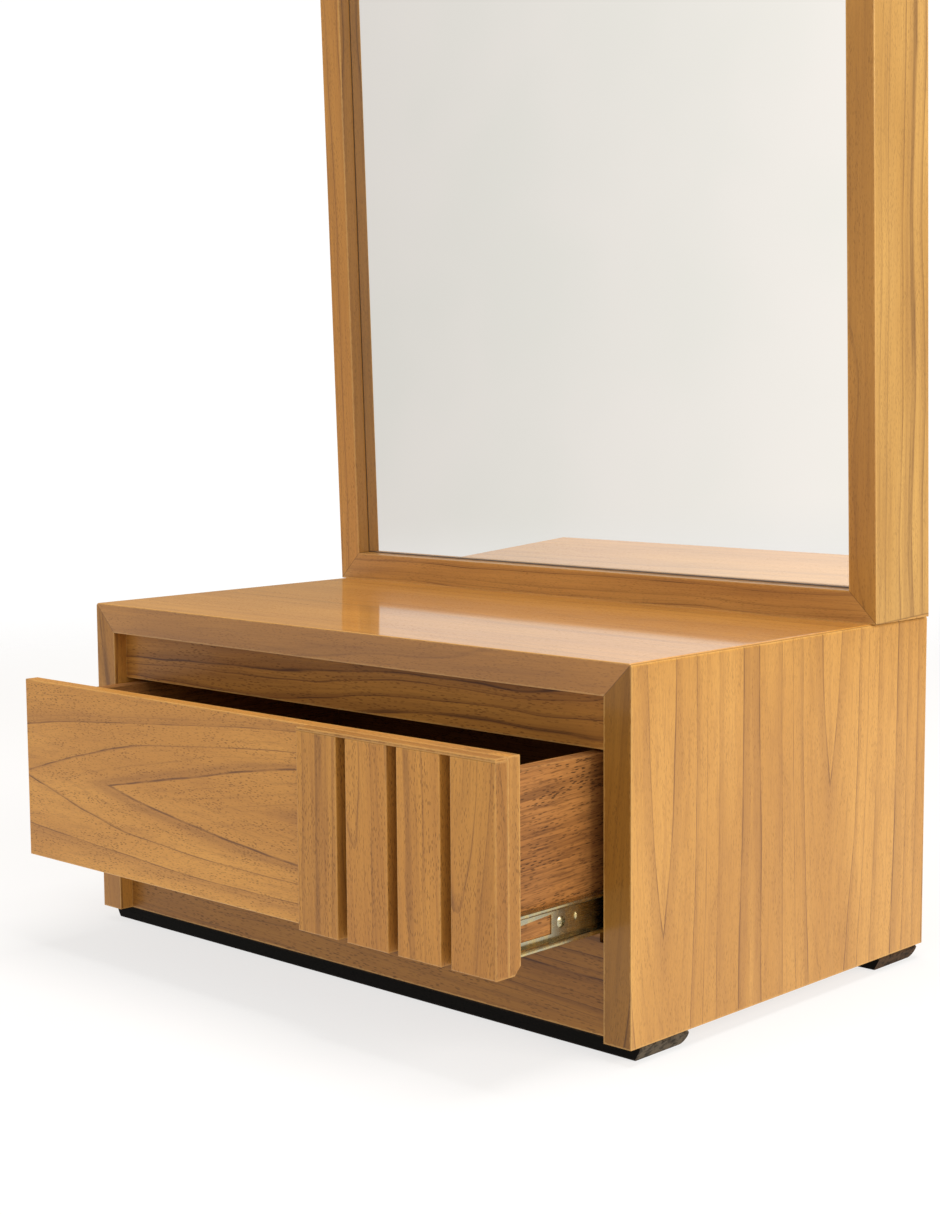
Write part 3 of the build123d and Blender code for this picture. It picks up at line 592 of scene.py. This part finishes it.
steelOf = {name: steelMaterial(name, look) for name, look in steels.items()}
steelSlots = {
    "zinc_steel": "brightZincSteel", "yellow_zinc": "yellowZincSteel",
    "cage_steel": "pressedSteel", "ball_steel": "bearingSteel"}
slotOf = {s["node"]: s["material_slot"] for s in frame["record"]["subparts"]}
for name, node in nodes.items():
    if slotOf[name] in steelSlots:
        node.data.materials.clear()
        node.data.materials.append(steelOf[steelSlots[slotOf[name]]])


# The front screw of each slide has a raised head, and a pressed dimple stands behind it; in mm
slideDots = {
    "webFace": 264.0, "dome": 1.3,  # the slide's face from the middle, and a dome's height
    "arm": 0.16, "reach": 0.62, "recess": 0.9,  # the cross recess, as shares of the radius, and mm
    "headPlace": (-166.0, 103.0), "headRadius": 4.2,
    "dimplePlace": (-151.0, 104.5), "dimpleRadius": 1.2, "dimpleTall": 2.4,
    "rings": 20, "around": 48,
}


def raisedDot(name, side, place, radius, tall, recess):
    # A low dome on the slide's web: height falls as the square of the distance out from the
    # middle, less a cross-shaped recess; tall stretches it upwards. A flat fan closes its back.
    rings, around = slideDots["rings"], slideDots["around"]
    webFace, dome = slideDots["webFace"], slideDots["dome"]
    y, z = place
    out = np.linspace(0, 1, rings)[1:, None]
    angle = np.linspace(0, 2 * np.pi, around, endpoint=False)[None, :]
    across, up = out * np.cos(angle), out * np.sin(angle)
    height = dome * (1 - out ** 2) + 0 * angle
    inArms = np.minimum(np.abs(across), np.abs(up)) < slideDots["arm"]
    height = np.where(inArms & (out < slideDots["reach"]), height - recess, height)
    xyz = np.stack([side * (webFace + height), y + side * radius * across,
                    z + radius * tall * up], -1)
    middle = [side * (webFace + dome - recess), y, z]
    back = [side * webFace, y, z]
    points = np.concatenate([xyz.reshape(-1, 3), [middle, back]]) * mm
    index = np.arange((rings - 1) * around).reshape(rings - 1, around)
    after = np.roll(index, -1, 1)
    faces = np.stack([index[:-1], index[1:], after[1:], after[:-1]], -1).reshape(-1, 4).tolist()
    faces += [[len(points) - 2, int(a), int(b)] for a, b in zip(index[0], after[0])]
    faces += [[len(points) - 1, int(b), int(a)] for a, b in zip(index[-1], after[-1])]
    mesh = bpy.data.meshes.new(name)
    mesh.from_pydata(points.tolist(), [], faces)
    mesh.materials.append(steelOf["brightZincSteel"])
    piece = bpy.data.objects.new(name, mesh)
    scene.collection.objects.link(piece)
    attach(piece, "drawer")


for side, word in ((1, "right"), (-1, "left")):
    raisedDot(f"{word}_slide_front_screw_head", side, slideDots["headPlace"],
              slideDots["headRadius"], 1.0, slideDots["recess"])
    raisedDot(f"{word}_slide_dimple", side, slideDots["dimplePlace"],
              slideDots["dimpleRadius"], slideDots["dimpleTall"], 0.0)
print("slide heads made")

glassLook = {
    "opening": ((-278.5, 0, 25), (278.5, 0, 691.9)),  # mm, upright from the frame's foot
    "clean": "#F3F3F3", "wiped": "#EFF1F0",
    "wipe": 160.0, "wipeDetail": 2.0, "wipeShow": (0.3, 0.7),  # the first in mm, as for dust
    # the painted shadow line where glass meets frame: its colour, its reach in mm, its strength
    # and its roughness
    "gapShadow": "#4A3220", "gapShadowEdge": (0.7, 1.7), "gapShadowShare": 0.85, "gapShadowRough": 0.5,
    "dust": 3.0, "dustDetail": (4.0, 0.7), "dustShow": (0.62, 0.8), "dustRough": 0.03,
    "rough": 0.012,
}


def mirrorMaterial():
    # Float glass, silvered behind: a near-perfect reflection, a trace of green, faint dust dulling
    # it, and a painted shadow line of the gap between glass and frame, by the distance to the
    # opening's nearest side, in mm
    material, tree = newMaterial("silveredGlass")
    coords = addNode(tree, "TexCoord", out="Object")
    own = addNode(tree, "Mapping", coords, sockets={"Scale": (1 / mm,) * 3})
    dust = addNode(tree, "TexNoise", own, 1 / glassLook["dust"], *glassLook["dustDetail"])
    dust = addNode(tree, "MapRange", dust, *glassLook["dustShow"], **smooth)
    wipe = addNode(tree, "TexNoise", own, 1 / glassLook["wipe"], glassLook["wipeDetail"])
    wipe = addNode(tree, "MapRange", wipe, *glassLook["wipeShow"], **smooth)
    colour = addNode(tree, "Mix", wipe, linear(glassLook["clean"]), linear(glassLook["wiped"]),
                     **mixed)
    upright = uprightPlace(tree, coords, True)
    x, _, z = addNode(tree, "SeparateXYZ", upright).node.outputs
    (_, _, low), (right, _, high) = glassLook["opening"]
    x = addNode(tree, "Math", x, operation="ABSOLUTE")
    aside = addNode(tree, "Math", right, x, operation="SUBTRACT")
    below = addNode(tree, "Math", z, low, operation="SUBTRACT")
    above = addNode(tree, "Math", high, z, operation="SUBTRACT")
    ends = addNode(tree, "Math", below, above, operation="MINIMUM")
    nearest = addNode(tree, "Math", aside, ends, operation="MINIMUM")
    # Painted shadow of the gap between glass and frame: dark near the opening's sides
    gapShadow = addNode(tree, "MapRange", nearest, *glassLook["gapShadowEdge"], glassLook["gapShadowShare"],
                    0.0, **smooth)
    colour = addNode(tree, "Mix", gapShadow, colour, linear(glassLook["gapShadow"]), **mixed)
    rough = addNode(tree, "Math", dust, glassLook["dustRough"], glassLook["rough"],
                    operation="MULTIPLY_ADD")
    rough = addNode(tree, "Math", gapShadow, glassLook["gapShadowRough"], rough, operation="MULTIPLY_ADD")
    shader = addNode(tree, "BsdfPrincipled", colour, 1.0, rough)
    addNode(tree, "OutputMaterial", shader)
    return material


nodes["mirror_glass"].data.materials.clear()
nodes["mirror_glass"].data.materials.append(mirrorMaterial())
print("metals and glass made")

view = {  # place in metres, turns in degrees, lens in mm, and the sensor's longer side in mm
    "place": (1.1819, -1.2173, 0.4734), "azimuth": 43.62, "down": 6.285, "roll": -0.408,
    "lens": 61.75, "sensor": 36.0}
cameraData = bpy.data.cameras.new("camera")
cameraData.lens = view["lens"]
cameraData.sensor_width = view["sensor"]
camera = bpy.data.objects.new("camera", cameraData)
scene.collection.objects.link(camera)
turn = (Matrix.Rotation(math.radians(view["azimuth"]), 4, "Z")
        @ Matrix.Rotation(math.radians(90 - view["down"]), 4, "X")
        @ Matrix.Rotation(math.radians(view["roll"]), 4, "Z"))
camera.matrix_world = Matrix.Translation(view["place"]) @ turn
scene.camera = camera

studio = {  # lengths in metres, powers in watts
    "floorRadius": 5.0, "floorDrop": 0.0003,  # just clear of the runners' undersides
    "floorColour": "#8A8A8A", "floorGlow": 0.72, "floorFade": (1.3, 3.2),
    "keyPlace": (3.0, 0.2, 1.7), "keyAim": (0, 0, 0.35), "keySize": 1.8, "keyPower": 62.0,
    "keyColour": "#FFFBF4",
    "topPlace": (0.3, 0.1, 2.9), "topAim": (0, 0.1, 0.28), "topSize": 1.4, "topPower": 56.0,
    "topColour": "#FFFFFF",
}


def studioFloor():
    # A round floor: rings of a disc, whose radius grows as a power of one and a half
    around, rings = 96, 24
    radius = np.linspace(0, 1, rings)[:, None] ** 1.5 * studio["floorRadius"]
    angle = np.linspace(0, 2 * np.pi, around, endpoint=False)[None, :]
    flat = 0 * radius * angle - studio["floorDrop"]
    points = np.stack([radius * np.cos(angle), radius * np.sin(angle), flat], -1)
    index = np.arange(rings * around).reshape(rings, around)
    after = np.roll(index, -1, 1)
    faces = np.stack([index[1:-1], after[1:-1], after[2:], index[2:]], -1).reshape(-1, 4)
    cap = [list(index[1][::-1])]
    mesh = bpy.data.meshes.new("studioFloor")
    mesh.from_pydata(points.reshape(-1, 3).tolist(), [], faces[:, ::-1].tolist() + cap)
    floor = bpy.data.objects.new("studioFloor", mesh)
    scene.collection.objects.link(floor)
    # Matt studio paper, lit through: white, thinning out into the surroundings so that no
    # horizon shows
    material, tree = newMaterial("studioPaper")
    coords = addNode(tree, "TexCoord", out="Object")
    far = addNode(tree, "VectorMath", coords, operation="LENGTH")
    far = addNode(tree, "MapRange", far, *studio["floorFade"], **smooth)
    matt = addNode(tree, "BsdfDiffuse", linear(studio["floorColour"]))
    glow = addNode(tree, "Emission", linear("#FFFFFF"), studio["floorGlow"])
    paper = addNode(tree, "AddShader", matt, glow)
    clear = addNode(tree, "BsdfTransparent")
    shader = addNode(tree, "MixShader", far, paper, clear)
    addNode(tree, "OutputMaterial", shader)
    mesh.materials.append(material)


walls = {  # levels of light, and the x, y or z of the direction at which each starts and ends
    "behindSeen": 1.04, "behindAsLight": 0.44,  # behind, as the camera sees it and as it lights
    "behindColour": "#FFFFFF", "behindLightColour": "#FFDDB4",
    "turn": (-0.25, 0.25),  # from the front wall to the back one
    "frontColour": "#FFFAF3", "frontLevel": 0.80, "frontSlope": 1.25, "frontFrom": 0.718,
    "frontLeast": 0.66, "frontMost": 1.04, "frontTop": (0.16, 0.5), "aboveLevel": 0.62,
    "stripFoot": (0.128, 0.15), "stripHead": (0.2, 0.24), "stripLevel": 0.6,
    "stripColour": "#FFF0DC",
}


def studioWorld():
    # Pale surroundings by direction: white behind the piece, and in front a wall whose light is
    # its level plus its slope times x, with a brighter low strip across it
    world = bpy.data.worlds.new("studioWorld")
    scene.world = world
    world.use_nodes = True
    tree = world.node_tree
    tree.nodes.clear()
    toward = addNode(tree, "TexCoord", out="Generated")
    x, y, z = addNode(tree, "SeparateXYZ", toward).node.outputs
    start = walls["frontLevel"] + walls["frontFrom"] * walls["frontSlope"]
    wall = addNode(tree, "Math", x, walls["frontSlope"], start, operation="MULTIPLY_ADD")
    wall = addNode(tree, "Math", wall, walls["frontLeast"], operation="MAXIMUM")
    wall = addNode(tree, "Math", wall, walls["frontMost"], operation="MINIMUM")
    above = addNode(tree, "MapRange", z, *walls["frontTop"], 1.0, walls["aboveLevel"], **smooth)
    wall = addNode(tree, "Math", wall, above, operation="MULTIPLY")
    back = addNode(tree, "MapRange", y, *walls["turn"], **smooth)
    seen = addNode(tree, "LightPath", out="Is Camera Ray")
    behind = addNode(tree, "Math", seen, walls["behindSeen"] - walls["behindAsLight"],
                     walls["behindAsLight"], operation="MULTIPLY_ADD")
    level = addNode(tree, "Mix", back, wall, behind, data_type="FLOAT")
    foot = addNode(tree, "MapRange", z, *walls["stripFoot"], **smooth)
    head = addNode(tree, "MapRange", z, *walls["stripHead"], 1.0, 0.0, **smooth)
    strip = addNode(tree, "Math", foot, head, operation="MULTIPLY")
    front = addNode(tree, "Math", 1.0, back, operation="SUBTRACT")
    strip = addNode(tree, "Math", strip, front, operation="MULTIPLY")
    level = addNode(tree, "Math", strip, walls["stripLevel"], level, operation="MULTIPLY_ADD")
    colour = addNode(tree, "Mix", seen, linear(walls["behindLightColour"]),
                     linear(walls["behindColour"]), **mixed)
    colour = addNode(tree, "Mix", back, linear(walls["frontColour"]), colour, **mixed)
    colour = addNode(tree, "Mix", strip, colour, linear(walls["stripColour"]), **mixed)
    background = addNode(tree, "Background", colour, level)
    addNode(tree, "OutputWorld", background)


def softLight(name):
    # A square light, aimed at a point on the piece
    data = bpy.data.lights.new(f"{name}Light", "AREA")
    data.shape = "SQUARE"
    data.size = studio[f"{name}Size"]
    data.energy = studio[f"{name}Power"]
    data.color = linear(studio[f"{name}Colour"])[:3]
    light = bpy.data.objects.new(f"{name}Light", data)
    scene.collection.objects.link(light)
    place = Vector(studio[f"{name}Place"])
    light.location = place
    toward = Vector(studio[f"{name}Aim"]) - place
    light.rotation_euler = toward.to_track_quat("-Z", "Y").to_euler()


studioFloor()
studioWorld()
softLight("key")
softLight("top")
scene.view_settings.view_transform = "Standard"
print("studio made")
